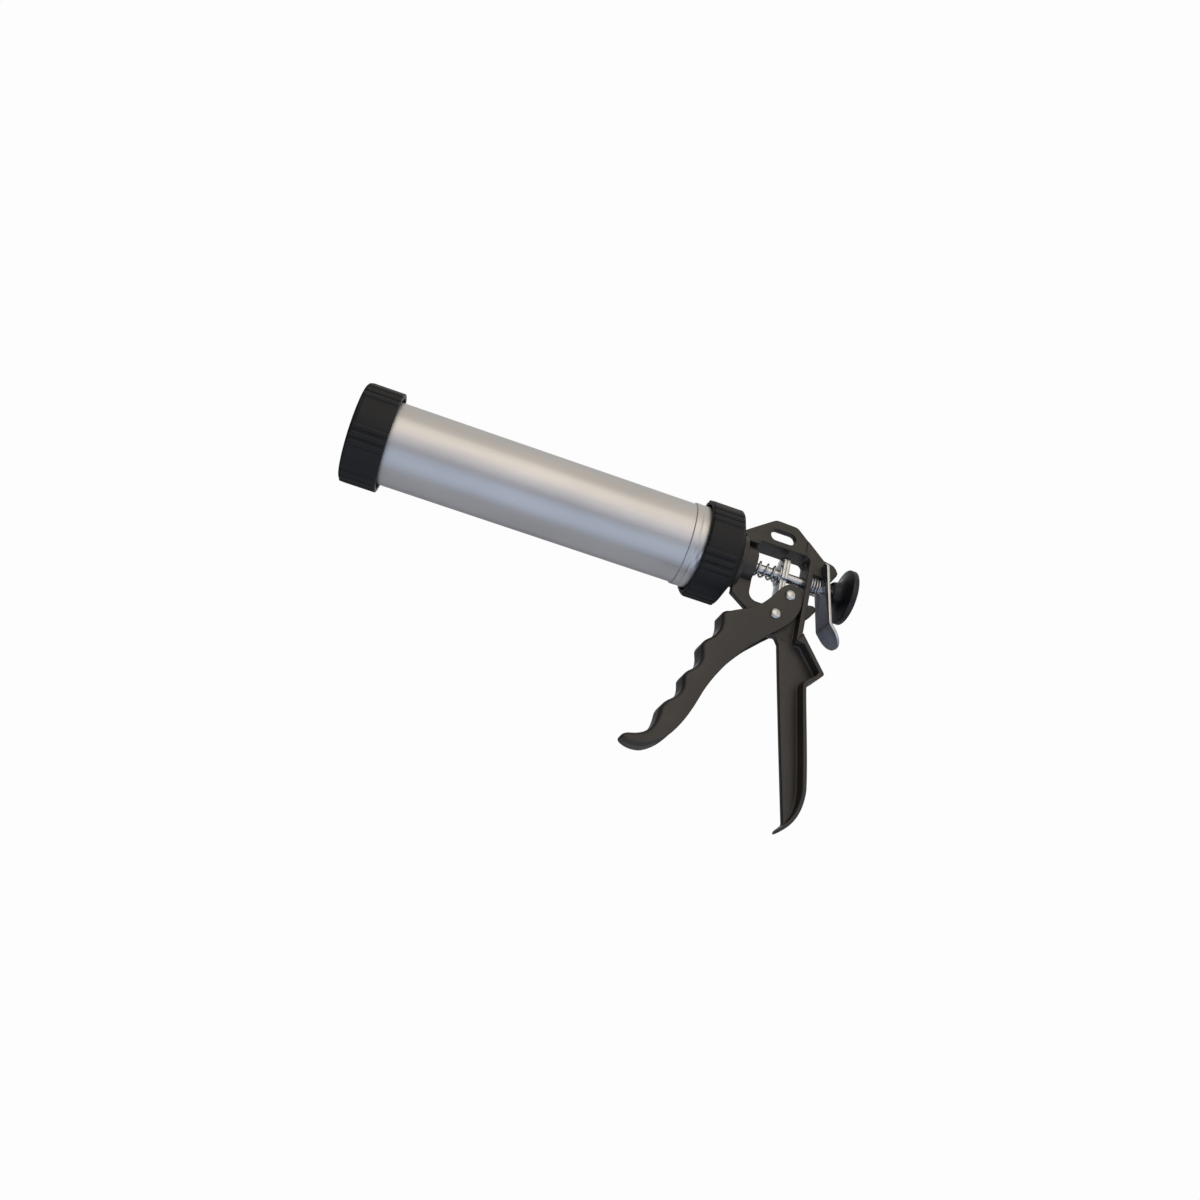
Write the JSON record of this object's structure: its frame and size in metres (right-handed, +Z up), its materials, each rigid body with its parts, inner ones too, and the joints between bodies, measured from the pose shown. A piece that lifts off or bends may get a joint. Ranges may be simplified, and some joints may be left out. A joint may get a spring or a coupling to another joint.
{
  "type": "caulking gun",
  "caption": "Closed-barrel hand caulking gun with an aluminium barrel, ribbed screw caps, cast frame and trigger, push rod, and a sprung release lever.",
  "frame": {"origin": "centre of the nozzle opening in the front face of the front cap, on the barrel axis", "axes": "+X along the barrel from the muzzle back to the knob, +Z up towards the hanging slot, Y across with the gun's left side at -Y"},
  "size_m": [0.3362, 0.0644, 0.2043],
  "materials": {
    "cast_black": "satin black paint over die-cast aluminium",
    "black_plastic": "moulded black polypropylene, satin",
    "knob_black": "smooth moulded black plastic",
    "barrel_aluminium": "satin anodised drawn tube",
    "zinc_steel": "bright zinc plate",
    "seal_rubber": "matt rubber",
    "brass": "turned brass"
  },
  "bodies": {
    "frame": {"body_frame": "cast_black", "rear_collar": "black_plastic", "collar_washer": "zinc_steel", "collar_nut": "zinc_steel", "neck_bush": "black_plastic", "drive_spring": "zinc_steel", "brake_spring": "zinc_steel"},
    "barrel": {"barrel_tube": "barrel_aluminium"},
    "cap": {"front_cap": "black_plastic", "nozzle_seal": "seal_rubber"},
    "rod": {"push_rod": "zinc_steel", "piston": "black_plastic", "piston_front_nut": "zinc_steel", "piston_washer": "zinc_steel", "piston_nut": "zinc_steel", "rod_knob": "knob_black", "knob_insert": "brass"},
    "drive": {"drive_plate_front": "zinc_steel", "drive_plate_rear": "zinc_steel", "spring_washer": "zinc_steel"},
    "trigger": {"trigger": "cast_black", "trigger_pivot_pin": "zinc_steel", "drive_pin": "zinc_steel", "drive_roller": "zinc_steel"},
    "lever": {"release_lever": "zinc_steel"}
  },
  "joints": [
    {"name": "rod_slide", "type": "slide", "parent": "frame", "child": "rod", "axis": [1, 0, 0], "range_m": [0, 0.2]},
    {"name": "trigger_squeeze", "type": "hinge", "parent": "frame", "child": "trigger", "pos_m": [0.2851, 0, -0.0317], "axis": [0, -1, 0], "range_deg": [0, 30], "stiffness_Nm_per_rad": 0.6, "springref_deg": -34.38},
    {"name": "drive_plate_slide", "type": "slide", "parent": "frame", "child": "drive", "axis": [-1, 0, 0], "range_m": [0, 0.0092], "deforming": ["drive_spring"]},
    {"name": "lever_release", "type": "hinge", "parent": "frame", "child": "lever", "pos_m": [0.3152, 0, 0.0066], "axis": [0, 1, 0], "range_deg": [0, 8], "stiffness_Nm_per_rad": 0.5, "springref_deg": -28.65, "deforming": ["brake_spring"]},
    {"name": "barrel_unscrew", "type": "slide", "parent": "frame", "child": "barrel", "axis": [-1, 0, 0], "range_m": [0, 0.02]},
    {"name": "cap_unscrew", "type": "slide", "parent": "barrel", "child": "cap", "axis": [-1, 0, 0], "range_m": [0, 0.02]}
  ],
  "couplings": [
    {"joint": "drive_plate_slide", "follows": "trigger_squeeze", "m_per_rad": 0.0169}
  ]
}
